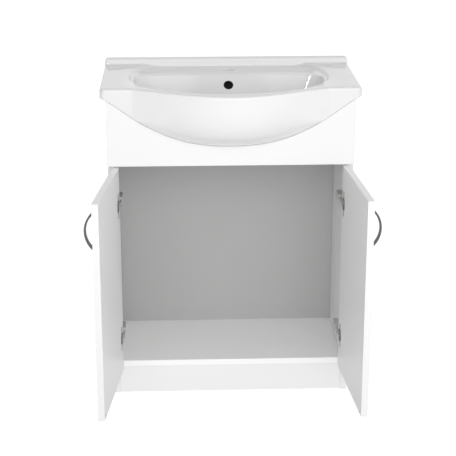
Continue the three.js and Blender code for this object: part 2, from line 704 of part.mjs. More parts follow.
// goose-neck link: two cheeks beside the nose, joined by a bar that lies in the
// open door's cup; degrees is how far that door stands open
function hingeLink(z, degrees) {
  const axis = new THREE.Vector2(-axisX, axisY);
  const end = new THREE.Vector2(-axisX + LINK_BAR_IN, doorBackY - LINK_BAR_DEEP)
    .rotateAround(axis, THREE.MathUtils.degToRad(-degrees));
  const bends = LINK_NECK.map(([x, y]) => linkPivot.clone().add(new THREE.Vector2(x, y)));
  const neck = new THREE.CubicBezierCurve(linkPivot, ...bends, end);
  const outline = [1, -1].flatMap((side) => {
    const edge = steps(0, 1, 1 / 12).map((t) => {
      const along = neck.getTangent(t);
      const half = LINK_HALF - LINK_TAPER * Math.min(1, 2 * t);
      return neck.getPoint(t).add(new THREE.Vector2(-along.y, along.x).multiplyScalar(side * half));
    });
    return side > 0 ? edge : edge.reverse();
  });
  const inside = NOSE_W / 2 + FIT;
  const outside = inside + LINK_T;
  const cheeks = [-outside, inside].flatMap((low) => [
    extrude(new THREE.Shape(outline), LINK_T, RIGHT, BACK, UP).translate(0, 0, z + low),
    bar('z', LINK_EYE_D, [z + low, z + low + LINK_T], [linkPivot.x, linkPivot.y]),
  ]);
  return cut(
    join(bar('z', LINK_BAR_D, [z - outside, z + outside], [end.x, end.y]), ...cheeks),
    bar('z', LINK_PIN_D + 2 * FIT, [z - outside - PAST, z + outside + PAST], [linkPivot.x, linkPivot.y], 16),
  );
}

function plateScrew(z) {
  const seat = plateX + PLATE_T;
  return join(
    bar('x', SCREW_D, [plateX - SCREW_L + FIT, seat + SCREW_HEAD_T / 2], [PLATE_LINE, z], 14),
    bar('x', SCREW_HEAD_D, [seat, seat + SCREW_HEAD_T], [PLATE_LINE, z]),
  );
}

for (const [level, z] of Object.entries(hingeZ)) {
  addPair(`hinge_plate_${level}`, mountingPlate(z), zinc);
  addPair(`hinge_arm_${level}`, hingeArm(z), zinc);
  add(`hinge_link_${level}_left`, hingeLink(z, OPEN_LEFT), zinc);
  add(`hinge_link_${level}_right`, mirrored(hingeLink(z, OPEN_RIGHT)), zinc);
  addPair(`plate_screw_${level}_below`, plateScrew(z - PLATE_SCREW_CC / 2), zinc);
  addPair(`plate_screw_${level}_above`, plateScrew(z + PLATE_SCREW_CC / 2), zinc);
}

export default cabinet;
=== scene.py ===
import math

import bmesh
import bpy
from mathutils import Matrix, Vector


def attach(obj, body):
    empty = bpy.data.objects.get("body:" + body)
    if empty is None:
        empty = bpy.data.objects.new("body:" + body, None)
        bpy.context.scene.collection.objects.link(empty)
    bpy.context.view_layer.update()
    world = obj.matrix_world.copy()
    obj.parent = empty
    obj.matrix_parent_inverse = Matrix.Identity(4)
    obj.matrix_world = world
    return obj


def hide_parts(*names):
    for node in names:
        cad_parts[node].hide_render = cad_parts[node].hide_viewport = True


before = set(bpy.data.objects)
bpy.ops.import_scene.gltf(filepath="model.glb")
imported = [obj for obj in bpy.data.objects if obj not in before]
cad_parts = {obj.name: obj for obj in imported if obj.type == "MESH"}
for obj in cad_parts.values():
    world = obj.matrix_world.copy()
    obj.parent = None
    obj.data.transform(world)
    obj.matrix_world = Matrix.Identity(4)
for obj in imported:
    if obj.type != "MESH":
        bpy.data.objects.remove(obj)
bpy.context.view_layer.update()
sides = ("left", "right")
levels = ("lower", "upper")
mm = 0.001
print("frame loaded:", len(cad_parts), "nodes")

# camera, close to where the photograph was taken from, with an unshifted lens
cameraPlace = {"x": -0.1350, "y": -3.2844, "z": 1.5585, "turn": 0.039, "tilt": 0.324, "lens": 106.3}
camera = bpy.data.objects.new("camera", bpy.data.cameras.new("camera"))
bpy.context.scene.collection.objects.link(camera)
camera.location = (cameraPlace["x"], cameraPlace["y"], cameraPlace["z"])
camera.rotation_euler = (math.pi / 2 - cameraPlace["tilt"], 0, -cameraPlace["turn"])
camera.data.lens = cameraPlace["lens"]
camera.data.sensor_width = 36
camera.data.clip_end = 60
bpy.context.scene.camera = camera


# finishes

def nodeGroup(name, inputs, outputs):
    group = bpy.data.node_groups.new(name, "ShaderNodeTree")
    for label, kind, value in inputs:
        socket = group.interface.new_socket(name=label, in_out="INPUT", socket_type=kind)
        if value is not None:
            socket.default_value = value
    for label, kind in outputs:
        group.interface.new_socket(name=label, in_out="OUTPUT", socket_type=kind)
    return group, group.nodes.new("NodeGroupInput"), group.nodes.new("NodeGroupOutput")


def addNode(tree, kind, settings=(), sockets=(), links=()):
    node = tree.nodes.new(kind)
    for key, value in dict(settings).items():
        setattr(node, key, value)
    for key, value in dict(sockets).items():
        node.inputs[key].default_value = value
    for key, source in dict(links).items():
        tree.links.new(source, node.inputs[key])
    return node


def buildFineSurface():
    # a fine grain over a slow drift: gives the colour, the roughness and a height
    group, given, result = nodeGroup("fineSurface", [
        ("Place", "NodeSocketVector", None),
        ("Grain Scale", "NodeSocketFloat", 900.0),
        ("Drift Scale", "NodeSocketFloat", 6.0),
        ("Colour Low", "NodeSocketColor", (0.9, 0.9, 0.9, 1)),
        ("Colour High", "NodeSocketColor", (0.9, 0.9, 0.9, 1)),
        ("Rough Low", "NodeSocketFloat", 0.2),
        ("Rough High", "NodeSocketFloat", 0.3),
        ("Wave Share", "NodeSocketFloat", 0.5),
    ], [("Colour", "NodeSocketColor"), ("Roughness", "NodeSocketFloat"), ("Height", "NodeSocketFloat")])
    grain = addNode(group, "ShaderNodeTexNoise", sockets={"Detail": 2.0, "Roughness": 0.55},
                    links={"Vector": given.outputs["Place"], "Scale": given.outputs["Grain Scale"]})
    drift = addNode(group, "ShaderNodeTexNoise", sockets={"Detail": 3.0, "Roughness": 0.5},
                    links={"Vector": given.outputs["Place"], "Scale": given.outputs["Drift Scale"]})
    # the mix node's colour sockets come after its number sockets
    shade = addNode(group, "ShaderNodeMix", {"data_type": "RGBA"}, links={
        0: drift.outputs["Fac"], 6: given.outputs["Colour Low"], 7: given.outputs["Colour High"]})
    blend = addNode(group, "ShaderNodeMath", {"operation": "MULTIPLY"}, links={
        0: grain.outputs["Fac"], 1: drift.outputs["Fac"]})
    rough = addNode(group, "ShaderNodeMapRange", sockets={"From Min": 0.12, "From Max": 0.4}, links={
        "Value": blend.outputs[0],
        "To Min": given.outputs["Rough Low"], "To Max": given.outputs["Rough High"]})
    height = addNode(group, "ShaderNodeMix", {"data_type": "FLOAT"}, links={
        0: given.outputs["Wave Share"], 2: grain.outputs["Fac"], 3: drift.outputs["Fac"]})
    group.links.new(shade.outputs[2], result.inputs["Colour"])
    group.links.new(rough.outputs["Result"], result.inputs["Roughness"])
    group.links.new(height.outputs[0], result.inputs["Height"])
    return group


def buildBrushed():
    # streaks drawn out along one direction, with faint handling marks
    group, given, result = nodeGroup("brushedStreaks", [
        ("Place", "NodeSocketVector", None),
        ("Colour Low", "NodeSocketColor", (0.4, 0.4, 0.4, 1)),
        ("Colour High", "NodeSocketColor", (0.5, 0.5, 0.5, 1)),
        ("Rough Low", "NodeSocketFloat", 0.25),
        ("Rough High", "NodeSocketFloat", 0.4),
    ], [("Colour", "NodeSocketColor"), ("Roughness", "NodeSocketFloat"), ("Height", "NodeSocketFloat")])
    streaks = addNode(group, "ShaderNodeTexNoise", sockets={"Scale": 1.0, "Detail": 4.0, "Roughness": 0.6},
                      links={"Vector": given.outputs["Place"]})
    marks = addNode(group, "ShaderNodeTexNoise", sockets={"Scale": 0.02, "Detail": 2.0},
                    links={"Vector": given.outputs["Place"]})
    shade = addNode(group, "ShaderNodeMix", {"data_type": "RGBA"}, links={
        0: streaks.outputs["Fac"], 6: given.outputs["Colour Low"], 7: given.outputs["Colour High"]})
    both = addNode(group, "ShaderNodeMath", {"operation": "MULTIPLY"}, links={
        0: streaks.outputs["Fac"], 1: marks.outputs["Fac"]})
    rough = addNode(group, "ShaderNodeMapRange", sockets={"From Min": 0.1, "From Max": 0.42}, links={
        "Value": both.outputs[0],
        "To Min": given.outputs["Rough Low"], "To Max": given.outputs["Rough High"]})
    group.links.new(shade.outputs[2], result.inputs["Colour"])
    group.links.new(rough.outputs["Result"], result.inputs["Roughness"])
    group.links.new(streaks.outputs["Fac"], result.inputs["Height"])
    return group


fineSurface = buildFineSurface()
brushedStreaks = buildBrushed()


def grey(value, warmth=0.0):
    return (value * (1 + warmth), value, value * (1 - warmth), 1)


def makeFinish(name, group, stretch, groupValues, shaderValues, bump):
    material = bpy.data.materials.new(name)
    material.use_nodes = True
    tree = material.node_tree
    shader = tree.nodes["Principled BSDF"]
    for key, value in shaderValues.items():
        shader.inputs[key].default_value = value
    place = addNode(tree, "ShaderNodeTexCoord")
    mapping = addNode(tree, "ShaderNodeMapping", sockets={"Scale": stretch},
                      links={"Vector": place.outputs["Object"]})
    effect = addNode(tree, "ShaderNodeGroup", {"node_tree": group})
    for key, value in groupValues.items():
        effect.inputs[key].default_value = value
    relief = addNode(tree, "ShaderNodeBump",
                     sockets={"Strength": bump["strength"], "Distance": bump["depth"]},
                     links={"Height": effect.outputs["Height"]})
    tree.links.new(mapping.outputs["Vector"], effect.inputs["Place"])
    tree.links.new(effect.outputs["Colour"], shader.inputs["Base Color"])
    tree.links.new(effect.outputs["Roughness"], shader.inputs["Roughness"])
    tree.links.new(relief.outputs["Normal"], shader.inputs["Normal"])
    return material


lacquer = makeFinish("whiteLacquer", fineSurface, (1, 1, 1), {
    "Grain Scale": 520.0, "Drift Scale": 5.0,
    "Colour Low": grey(0.835, 0.002), "Colour High": grey(0.855, 0.002),
    "Rough Low": 0.3, "Rough High": 0.42, "Wave Share": 0.2,
}, {"IOR": 1.45, "Coat Weight": 0.08, "Coat Roughness": 0.2}, {"strength": 0.18, "depth": 0.00006})

melamine = makeFinish("innerMelamine", fineSurface, (1, 1, 1), {
    "Grain Scale": 1400.0, "Drift Scale": 4.0,
    "Colour Low": grey(0.82, 0.002), "Colour High": grey(0.85, 0.002),
    "Rough Low": 0.34, "Rough High": 0.46, "Wave Share": 0.1,
}, {"IOR": 1.48}, {"strength": 0.35, "depth": 0.00005})

# the bottom board's white melamine, painted lighter than the inner sides: painted light standing in for the
# light that falls on the cabinet's floor
shelfPaintedLight = makeFinish("shelfPaintedLight", fineSurface, (1, 1, 1), {
    "Grain Scale": 1400.0, "Drift Scale": 4.0,
    "Colour Low": grey(0.93, 0.002), "Colour High": grey(0.95, 0.002),
    "Rough Low": 0.34, "Rough High": 0.46, "Wave Share": 0.1,
}, {"IOR": 1.48}, {"strength": 0.35, "depth": 0.00005})

# the back board's white melamine, painted mid grey: painted shade standing in for the shade deep inside the
# cabinet
backPaintedShade = makeFinish("backPaintedShade", fineSurface, (1, 1, 1), {
    "Grain Scale": 1400.0, "Drift Scale": 3.0,
    "Colour Low": grey(0.435, 0.002), "Colour High": grey(0.46, 0.002),
    "Rough Low": 0.38, "Rough High": 0.5, "Wave Share": 0.1,
}, {"IOR": 1.45}, {"strength": 0.35, "depth": 0.00005})

glaze = makeFinish("basinGlaze", fineSurface, (1, 1, 1), {
    "Grain Scale": 60.0, "Drift Scale": 7.0,
    "Colour Low": grey(0.795, 0.001), "Colour High": grey(0.81, 0.001),
    "Rough Low": 0.02, "Rough High": 0.06, "Wave Share": 0.6,
}, {"IOR": 1.52}, {"strength": 0.1, "depth": 0.0006})

# near-black lining for the overflow's cup: painted shade, standing in for the shade inside the hole
overflowPaintedShade = makeFinish("overflowShade", fineSurface, (1, 1, 1), {
    "Grain Scale": 800.0, "Drift Scale": 30.0,
    "Colour Low": grey(0.012), "Colour High": grey(0.02),
    "Rough Low": 0.8, "Rough High": 0.95, "Wave Share": 0.3,
}, {"IOR": 1.3}, {"strength": 0.3, "depth": 0.0002})

handleSteel = makeFinish("handleSteel", brushedStreaks, (2600, 2600, 60), {
    "Colour Low": grey(0.15, 0.004), "Colour High": grey(0.24, 0.004), "Rough Low": 0.26, "Rough High": 0.4,
}, {"Metallic": 1.0, "Anisotropic": 0.4}, {"strength": 0.15, "depth": 0.0001})

hingeNickel = makeFinish("hingeNickel", brushedStreaks, (900, 90, 900), {
    "Colour Low": grey(0.58, 0.01), "Colour High": grey(0.72, 0.01), "Rough Low": 0.26, "Rough High": 0.42,
}, {"Metallic": 1.0}, {"strength": 0.08, "depth": 0.0001})

screwZinc = makeFinish("screwZinc", brushedStreaks, (1500, 1500, 1500), {
    "Colour Low": grey(0.5, -0.004), "Colour High": grey(0.66, -0.004), "Rough Low": 0.24, "Rough High": 0.42,
}, {"Metallic": 1.0}, {"strength": 0.1, "depth": 0.0001})

paintedScrew = makeFinish("paintedScrew", fineSurface, (1, 1, 1), {
    "Grain Scale": 1200.0, "Drift Scale": 90.0,
    "Colour Low": grey(0.78, 0.002), "Colour High": grey(0.84, 0.002),
    "Rough Low": 0.3, "Rough High": 0.45, "Wave Share": 0.3,
}, {"IOR": 1.45}, {"strength": 0.2, "depth": 0.00005})

bumperPlastic = makeFinish("bumperPlastic", fineSurface, (1, 1, 1), {
    "Grain Scale": 900.0, "Drift Scale": 60.0,
    "Colour Low": grey(0.8), "Colour High": grey(0.84),
    "Rough Low": 0.3, "Rough High": 0.42, "Wave Share": 0.3,
}, {"IOR": 1.45, "Transmission Weight": 0.35}, {"strength": 0.1, "depth": 0.0001})
print("finishes made")


# pieces copied from the frame, with their edges eased

def keepPiece(name, bm, material, body, nodes, sharpFrom=32):
    mesh = bpy.data.meshes.new(name)
    bm.to_mesh(mesh)
    bm.free()
    mesh.materials.append(material)
    piece = bpy.data.objects.new(name, mesh)
    bpy.context.scene.collection.objects.link(piece)
    if sharpFrom:
        mesh.shade_smooth()
        mesh.set_sharp_from_angle(angle=math.radians(sharpFrom))
    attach(piece, body)
    if nodes:
        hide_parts(*nodes)
    return piece


def nodeCopy(node):
    bm = bmesh.new()
    bm.from_mesh(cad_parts[node].data)
    bmesh.ops.remove_doubles(bm, verts=bm.verts, dist=2e-6)
    bmesh.ops.dissolve_limit(bm, angle_limit=math.radians(0.6), verts=bm.verts, edges=bm.edges)
    return bm


def easeEdges(bm, radius, segments, sharperThan):
    edges = [e for e in bm.edges if e.is_manifold and e.calc_face_angle(0) > math.radians(sharperThan)]
    made = bmesh.ops.bevel(bm, geom=edges, offset=radius, offset_type="OFFSET", affect="EDGES",
                           segments=segments, profile=0.5, material=-1, clamp_overlap=True)
    rounded = set(made["faces"])
    for face in bm.faces:
        face.smooth = face in rounded
    for edge in bm.edges:
        if len({face in rounded for face in edge.link_faces}) == 2:
            edge.smooth = False


def easedPiece(node, name, material, body, radius, segments=2, sharperThan=28):
    bm = nodeCopy(node)
    easeEdges(bm, radius, segments, sharperThan)
    return keepPiece(name, bm, material, body, [node], sharpFrom=0)


boards = {"edge": 0.0007, "doorEdge": 0.0011}
for side in sides:
    easedPiece(f"side_panel_{side}", f"sidePanel_{side}", lacquer, "carcass", boards["edge"])
    easedPiece(f"door_{side}", f"doorBoard_{side}", lacquer,
               f"door_leaf_{side}", boards["doorEdge"], 3)
    easedPiece(f"fascia_cleat_{side}", f"fasciaCleat_{side}", melamine,
               "carcass", boards["edge"])
easedPiece("plinth", "plinthBoard", lacquer, "carcass", boards["edge"])
# the bottom board's finish holds painted light
for node, name, finish in (("bottom_panel", "bottomBoard", shelfPaintedLight),
                           ("front_rail", "frontRail", melamine),
                           # the back board's finish holds painted shade
                           ("back_panel", "backBoard", backPaintedShade)):
    easedPiece(node, name, finish, "carcass", boards["edge"])
print("boards eased")

hardware = {"handle": 0.0014, "hinge": 0.0005, "link": 0.0003, "bumper": 0.0004, "roundFrom": 40}
for side in sides:
    leaf = f"door_leaf_{side}"
    easedPiece(f"handle_{side}", f"bowHandle_{side}", handleSteel,
               leaf, hardware["handle"], 4, hardware["roundFrom"])
    easedPiece(f"door_bumper_{side}", f"bumperPad_{side}", bumperPlastic,
               leaf, hardware["bumper"], 3, hardware["roundFrom"])
    for level in levels:
        spot = f"{level}_{side}"
        easedPiece(f"hinge_cup_{spot}", f"hingeCup_{spot}", hingeNickel,
                   leaf, hardware["link"])
        easedPiece(f"handle_screw_{spot}", f"handleScrew_{spot}", paintedScrew,
                   leaf, hardware["link"])
        easedPiece(f"hinge_link_{spot}", f"hingeLink_{spot}", hingeNickel,
                   f"link_{spot}", hardware["link"])
        easedPiece(f"hinge_arm_{spot}", f"hingeArm_{spot}", hingeNickel,
                   "carcass", hardware["hinge"])
        easedPiece(f"hinge_plate_{spot}", f"hingePlate_{spot}", hingeNickel,
                   "carcass", hardware["hinge"])
        for place in ("below", "above"):
            easedPiece(f"plate_screw_{level}_{place}_{side}", f"plateScrew_{level}_{place}_{side}",
                       screwZinc, "carcass", hardware["hinge"])
print("hardware eased")

# basin, in millimetres, with y measured from the carcass's front edge

basin = {
    "half": 325, "front": -20, "back": 296, "corner": 14,
    "rim": 828, "rimThick": 25, "lipReach": 87, "lipFullness": 0.587,
    "bowlHalf": 245, "bowlFront": -75, "bowlRear": 182, "bowlWidest": 127, "bowlMiddle": 60,
    "bowlDepth": 126, "flatness": 6, "rearCorner": 4, "rearFall": 0.75,
    "recess": 7, "border": 14, "borderPast": 45, "borderCorner": 2.5,
    "fillet": 6, "filletShare": 0.3, "bevel": 13, "bevelShare": 0.62,
    "upstand": 17, "upstandThick": 14, "upstandRound": 10,
    "bellyDrop": 122.3, "bellySpan": 0.948, "bellyFlatness": 2.35, "bellyTail": 0.2,
    "bellyRound": 2.4, "tuckFrom": 0.61,
    "blendRun": 45, "blendRunSide": 10, "blendSide": (0.58, 0.83), "shell": 13, "fascia": 18,
    "drain": 23, "drainBoss": 38, "drainLip": 2.5, "bossEase": 1, "steepest": 1.8,
    "edgeRound": 7, "lipRound": 1.9, "wallRound": 2, "underRound": 2.5, "frameShift": 12,
    "tapPlace": 240, "tapRadius": 17.5, "tapFlare": 2.2,
    "overflowRadius": 12.5, "overflowFlare": 1.2, "overflowFromEdge": 23, "overflowTilt": 40,
    "cutReach": 40, "sharpFrom": 38,
    # the bowl's wall crowds its points outwards and ends at a share of the fillet, whose curve is
    # drawn to a point just inside the edge
    "wallCrowding": 1.6, "filletStart": 0.35, "filletPull": 0.5,
    # the curve up the upstand's foot: where it begins in front of the face, then places with
    # their rise, and the angles of the rounding over its top
    "footRun": 3, "footCurve": ((-2.1, 0.25), (-1, 0.9), (-0.3, 1.9), (0, 3)),
    "topAngles": (0, 0.32, 0.64, 0.96, 1.28, math.pi / 2),
    # down the outside: its first point below the rounding, where the lower corner begins if the
    # belly isn't tucked, and that corner's angles, each with its way in
    "sideDrop": 4, "plainRise": 0.4,
    "plainCurve": ((0.4, 0.05), (0.8, 0.1), (1.2, 0.17), (math.pi / 2, 0.25)),
    # the first stretch under the rim is this long, but at most this share of the way in
    "underRun": 14, "underShare": 0.06,
    # points along each stretch of the section, then of the plan
    "steps": {"drain": 3, "wall": 26, "fillet": 7, "platform": 2, "bevel": 6, "deck": 2, "round": 6,
              "under": 16, "shell": 22, "corner": 6, "wave": 34, "frontEnd": 6, "wallSide": 56},
    # stations along each side, closer together towards the upstand
    "sideStart": 16,
    "sideRows": (20, 50, 80, 110, 140, 170, 200, 225, 245, 260, 270, 276, 279.5, 281.6, 282.05),
}
recessZ = basin["rim"] - basin["recess"]
underZ = basin["rim"] - basin["rimThick"]
upstandY = basin["back"] - basin["upstandThick"]
upstandTop = basin["rim"] + basin["upstand"]


def ease(t):
    t = min(1.0, max(0.0, t))
    return t * t * (3 - 2 * t)


def lipY(x):
    wave = 0.5 + 0.5 * math.cos(math.pi * min(1, abs(x) / basin["bowlHalf"]))
    return basin["front"] - basin["lipReach"] * wave ** basin["lipFullness"]


def bellyLine(x):
    rise = 1 - (abs(x) / (basin["bellySpan"] * basin["half"])) ** basin["bellyFlatness"]
    return (rise + math.hypot(rise, basin["bellyTail"])) / 2


def bellyShare(x):
    side = bellyLine(basin["half"])
    return max(0, (bellyLine(x) - side) / (bellyLine(0) - side))


def edgeValue(x, y):
    across = abs(x) / basin["bowlHalf"]
    if y < basin["bowlWidest"]:
        return across ** 2 + ((basin["bowlWidest"] - y) / (basin["bowlWidest"] - basin["bowlFront"])) ** 2
    back = (y - basin["bowlWidest"]) / (basin["bowlRear"] - basin["bowlWidest"])
    return across ** basin["rearCorner"] + back ** basin["rearCorner"]


def borderValue(x, y):
    across = abs(x) / (basin["bowlHalf"] + basin["border"])
    front = basin["bowlWidest"] - basin["bowlFront"] + basin["border"] / 2
    if y < basin["bowlWidest"]:
        return across ** 2 + ((basin["bowlWidest"] - y) / front) ** 2
    back = (y - basin["bowlWidest"]) / (basin["back"] - basin["bowlWidest"] + basin["borderPast"])
    return across ** basin["borderCorner"] + back ** basin["borderCorner"]


def reach(value, dx, dy):
    low, high = 1.0, 2.0 * basin["half"]
    for halving in range(34):
        middle = (low + high) / 2
        if value(dx * middle, basin["bowlMiddle"] + dy * middle) > 1:
            high = middle
        else:
            low = middle
    return low


def bowlDrop(share, dx, dy):
    rear = max(0, dy / (basin["bowlRear"] - basin["bowlMiddle"])) ** 2
    rearness = (rear / (rear + (dx / basin["bowlHalf"]) ** 2 + 1e-12)) ** 2
    fall = 1 - share
    rearWall = ease(fall) + basin["rearFall"] * fall * (1 - fall) ** 2
    return basin["bowlDepth"] * ((1 - rearness) * (1 - share ** basin["flatness"]) + rearness * rearWall)


def bowlFloor(x, y):
    out = math.hypot(x, y - basin["bowlMiddle"])
    if out < 0.5:
        return recessZ - basin["bowlDepth"]
    dx, dy = x / out, (y - basin["bowlMiddle"]) / out
    return recessZ - bowlDrop(min(1, out / reach(edgeValue, dx, dy)), dx, dy)


def tuckAt(x):
    return ease((abs(x) / basin["bowlHalf"] - basin["tuckFrom"]) / (1 - basin["tuckFrom"]))


def apronUnder(x, y):
    tuck = tuckAt(x)
    axis = -2 * basin["front"]

    def curve(v):
        t = min(1, max(0, (axis - v) / (axis - lipY(x))))
        return (1 - t ** basin["bellyRound"]) ** (1 / basin["bellyRound"])

    share = min(1, max(0, curve(min(y, -basin["fascia"])) / curve(-basin["fascia"])))
    return underZ - basin["bellyDrop"] * bellyShare(x) * (tuck + (1 - tuck) * share)


def basinUnder(x, y):
    slopeX = (bowlFloor(x + 1, y) - bowlFloor(x - 1, y)) / 2
    slopeY = (bowlFloor(x, y + 1) - bowlFloor(x, y - 1)) / 2
    wall = basin["shell"] * math.sqrt(1 + min(basin["steepest"], math.hypot(slopeX, slopeY)) ** 2)
    shell = min(underZ, bowlFloor(x, y) - wall)
    start, end = basin["blendSide"]
    beside = ease((abs(x) / basin["half"] - start) / (end - start))
    run = basin["blendRun"] + (basin["blendRunSide"] - basin["blendRun"]) * beside
    w = ease((y + basin["fascia"]) / run)
    return (1 - w) * apronUnder(x, y) + w * shell


def planOutline():
    # points of the plan, front left corner first, with the way each faces
    half, front, back, r = basin["half"], basin["front"], basin["back"], basin["corner"]
    steps = basin["steps"]
    turns, waves = steps["corner"], steps["wave"]
    line = []

    def corner(cx, cy, start, first=0, last=turns):
        for step in range(first, last + 1):
            a = start + math.pi / 2 * step / turns
            line.append((cx + r * math.cos(a), cy + r * math.sin(a)))

    def straight(start, end, count):
        for step in range(1, count):
            t = step / count
            line.append((start[0] + (end[0] - start[0]) * t, start[1] + (end[1] - start[1]) * t))

    corner(-half + r, front + r, math.pi)
    wave = [basin["bowlHalf"] * math.sin(math.pi / 2 * step / waves) for step in range(-waves, waves + 1)]
    straight(line[-1], (wave[0], front), steps["frontEnd"])
    line.extend((x, lipY(x)) for x in wave)
    straight(line[-1], (half - r, front), steps["frontEnd"])
    corner(half - r, front + r, -math.pi / 2)
    side = [front + r + basin["sideStart"], *basin["sideRows"]]
    line.extend((half, y) for y in side)
    # the last station at each side stands in for the rear corner's own first point
    corner(half - r, back - r, 0, first=1)
    straight(line[-1], (-half + r, back), steps["wallSide"])
    corner(-half + r, back - r, math.pi / 2, last=turns - 1)
    line.extend((-half, y) for y in reversed(side))
    ways = []
    for i, (x, y) in enumerate(line):
        ahead, behind = line[(i + 1) % len(line)], line[i - 1]
        way = Vector((ahead[1] - behind[1], behind[0] - ahead[0]))
        ways.append(way.normalized())
    return line, ways


def deckHeight(r, edge, border, bevelStart):
    return recessZ + basin["recess"] * ease((r - bevelStart) / max(1e-6, border - bevelStart))


def upstandHeight(y):
    # height of the upstand's top at a place from front to back
    t = min(1, max(0, (y - upstandY) / basin["upstandRound"]))
    return upstandTop - basin["upstandRound"] * (1 - math.sqrt(max(0, 1 - (1 - t) ** 2)))


def profileAt(x, y, way):
    # the basin's whole section along one ray, from the drain's lip over the bowl,
    # deck and rim, down the outside and back under to the drain
    cx, cy = 0, basin["bowlMiddle"]
    # the back edge, at the wall, is sharper than the others
    edgeRound = basin["edgeRound"] + (basin["wallRound"] - basin["edgeRound"]) * max(0, way.y)
    # and the lip falls away from further in, more and more towards its middle
    lipShare = max(0, (basin["front"] - y) / basin["lipReach"])
    roundIn = edgeRound * (1 + basin["lipRound"] * lipShare ** 2)
    edgePoint = Vector((x, y)) - way * roundIn
    limit = math.hypot(edgePoint.x - cx, edgePoint.y - cy)
    dx, dy = (edgePoint.x - cx) / limit, (edgePoint.y - cy) / limit
    edge, border = reach(edgeValue, dx, dy), reach(borderValue, dx, dy)
    foot = (upstandY - cy) / dy if dy > 0 and (upstandY - cy) / dy < limit else None
    gap = border - edge
    filletIn, filletOut = basin["fillet"], min(basin["fillet"], basin["filletShare"] * gap)
    bevelStart = border - min(basin["bevel"], basin["bevelShare"] * gap)
    steps, points = basin["steps"], []

    def put(r, z):
        points.append((cx + dx * r, cy + dy * r, z))

    def bowlZ(r):
        return recessZ - bowlDrop(min(1, r / edge), dx, dy)

    lip = basin["drain"]
    base = bowlZ(lip + basin["drainLip"])
    for step in range(steps["drain"] + 1):
        a = math.pi / 2 * step / steps["drain"]
        put(lip + basin["drainLip"] * (1 - math.cos(a)), base - basin["drainLip"] * (1 - math.sin(a)))
    start, end = lip + basin["drainLip"], edge - filletIn * basin["filletStart"]
    for step in range(1, steps["wall"] + 1):
        r = start + (end - start) * (1 - (1 - step / steps["wall"]) ** basin["wallCrowding"])
        put(r, bowlZ(r))
    inner, outer = Vector((end, bowlZ(end))), Vector((edge + filletOut, recessZ))
    pull = Vector((edge - basin["filletPull"], recessZ))
    for step in range(1, steps["fillet"] + 1):
        t = step / steps["fillet"]
        p = inner * (1 - t) ** 2 + pull * (2 * t * (1 - t)) + outer * t * t
        put(p.x, p.y)
    # platform, bevel and deck, as far as the upstand's foot or the rim's rounding
    stop = min(limit, foot - basin["footRun"] / dy) if foot else limit
    for start, end, count in ((edge + filletOut, bevelStart, steps["platform"]),
                              (bevelStart, border, steps["bevel"]),
                              (min(border, stop), stop, steps["deck"])):
        for step in range(1, count + 1):
            r = min(stop, start + (end - start) * step / count)
            put(r, deckHeight(r, edge, border, bevelStart))
    deck = deckHeight(stop, edge, border, bevelStart)
    # places from the upstand's front face back, with the rise of its foot, then over its top
    rows = [*basin["footCurve"]]
    rows += [(basin["upstandRound"] * (1 - math.cos(a)), None) for a in basin["topAngles"]]
    for offset, rise in rows:
        if foot is None:
            points.append((edgePoint.x, edgePoint.y, deckHeight(limit, edge, border, bevelStart)))
            continue
        r = min(limit, (upstandY + offset - cy) / dy)
        z = deck + rise if rise is not None else upstandHeight(upstandY + offset)
        if r >= limit:
            over = max(deck, upstandHeight(edgePoint.y)) if edgePoint.y > upstandY else deck
            points.append((edgePoint.x, edgePoint.y, over))
        else:
            put(r, z)
    top = points[-1][2]
    points.append((edgePoint.x, edgePoint.y, top))
    for step in range(1, steps["round"] + 1):
        a = math.pi / 2 * step / steps["round"]
        out = edgePoint + way * roundIn * math.sin(a)
        points.append((out.x, out.y, top - edgeRound * (1 - math.cos(a))))
    # outside, down to the rim's underside or the belly's wing, where the lower
    # corner is rounded as far as the wing is tucked under
    belly = y <= -basin["fascia"]
    low = apronUnder(x, y) if belly else underZ
    tucked = tuckAt(x) if belly else 1
    r2 = basin["underRound"]
    foldTop = low + r2 * tucked + basin["plainRise"] * (1 - tucked)
    for z in (top - edgeRound - basin["sideDrop"], (top + low) / 2, foldTop):
        points.append((x, y, min(z, top - edgeRound)))
    for a, plain in basin["plainCurve"]:
        inward = r2 * (1 - math.cos(a)) * tucked + plain * (1 - tucked)
        px, py = x - way.x * inward, y - way.y * inward
        under = apronUnder(px, py) if belly else low
        points.append((px, py, under + r2 * (1 - math.sin(a)) * tucked))
    ux, uy = points[-1][:2]
    away = math.hypot(ux - cx, uy - cy)
    stations = steps["under"]
    if belly:
        crossing = max(0.0, (-basin["fascia"] - uy) / (cy - uy))
        for step in range(1, stations + 1):
            t = crossing * (1 - math.cos(math.pi / 2 * step / stations))
            px, py = ux + (cx - ux) * t, uy + (cy - uy) * t
            points.append((px, py, basinUnder(px, py)))
    else:
        for step in range(1, stations + 1):
            t = min(basin["underShare"], basin["underRun"] / away) * step / stations
            px, py = ux + (cx - ux) * t, uy + (cy - uy) * t
            points.append((px, py, basinUnder(px, py)))
    sx, sy = points[-1][:2]
    left = math.hypot(sx - cx, sy - cy)
    boss, bossEase = basin["drainBoss"], basin["bossEase"]
    for step in range(1, steps["shell"] + 1):
        r = left + (boss - left) * step / steps["shell"]
        px, py = cx + (sx - cx) / left * r, cy + (sy - cy) / left * r
        points.append((px, py, basinUnder(px, py)))
    bossZ = recessZ - basin["bowlDepth"] - 2 * basin["shell"]
    put(boss, bossZ + bossEase)
    put(boss - bossEase, bossZ)
    put(lip + bossEase, bossZ)
    put(lip, bossZ + bossEase)
    return points


